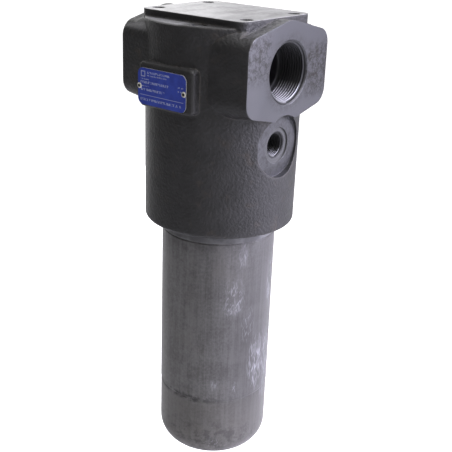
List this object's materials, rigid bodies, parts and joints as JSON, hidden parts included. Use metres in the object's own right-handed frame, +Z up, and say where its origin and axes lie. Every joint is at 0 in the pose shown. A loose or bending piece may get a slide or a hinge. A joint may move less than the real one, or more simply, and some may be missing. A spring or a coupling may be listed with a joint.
{
  "type": "hydraulic pressure filter",
  "caption": "In-line high-pressure filter: a cast iron head with opposed threaded ports, a screwed steel bowl below it and a pleated element inside.",
  "frame": {"origin": "centre of the machined top face, in the middle of its four tapped holes", "axes": "+Z up out of the top face, +X along the port axis towards the outlet port; the name plate faces -Y"},
  "size_m": [0.127, 0.1313, 0.402],
  "materials": {
    "cast_head": "dark phosphated sand casting",
    "blue_plate": "printed blue",
    "bright_steel": "turned",
    "plug_steel": "dull",
    "spring_steel": "drawn wire",
    "tinned_steel": "pressed sheet",
    "filter_media": "pleated glass fibre",
    "bowl_steel": "scuffed, phosphated",
    "dark_steel": "blackened",
    "black_rubber": "satin",
    "white_plastic": "matt"
  },
  "bodies": {
    "head_assembly": {"head": "cast_head", "nameplate": "blue_plate", "nameplate_rivets": "bright_steel", "passage_plug": "plug_steel", "element_spigot": "bright_steel", "bypass_body": "bright_steel", "bypass_spring_guide": "bright_steel", "bypass_retaining_ring": "spring_steel", "bypass_spring": "spring_steel", "element_top_cap": "tinned_steel", "element_o_ring": "black_rubber", "element_core": "tinned_steel", "element_media": "filter_media", "element_bottom_cap": "tinned_steel"},
    "bowl_seals": {"bowl_o_ring": "black_rubber", "bowl_backup_ring": "white_plastic"},
    "bowl": {"bowl": "bowl_steel", "element_spring": "spring_steel", "element_spring_seat": "tinned_steel"},
    "drain_seal": {"drain_plug_seal": "black_rubber"},
    "drain_plug": {"drain_plug": "dark_steel"},
    "bypass_poppet": {"bypass_poppet": "bright_steel"}
  },
  "joints": [
    {"name": "bowl_lower", "type": "slide", "parent": "head_assembly", "child": "bowl_seals", "axis": [0, 0, -1], "range_m": [0, 0.034]},
    {"name": "bowl_turn", "type": "hinge", "parent": "bowl_seals", "child": "bowl", "pos_m": [0, 0, -0.1692], "axis": [0, 0, -1], "range_deg": [0, 6120]},
    {"name": "drain_lower", "type": "slide", "parent": "bowl", "child": "drain_seal", "axis": [0, 0, -1], "range_m": [0, 0.0136]},
    {"name": "drain_turn", "type": "hinge", "parent": "drain_seal", "child": "drain_plug", "pos_m": [0, 0, -0.3965], "axis": [0, 0, -1], "range_deg": [0, 2700]},
    {"name": "bypass_lift", "type": "slide", "parent": "head_assembly", "child": "bypass_poppet", "axis": [0, 0, 1], "range_m": [0, 0.005], "stiffness_N_per_m": 400, "springref_m": -0.008, "deforming": ["bypass_spring"]}
  ],
  "couplings": [
    {"joint": "bowl_turn", "follows": "bowl_lower", "rad_per_m": 3141.6},
    {"joint": "drain_turn", "follows": "drain_lower", "rad_per_m": 3463.7}
  ]
}
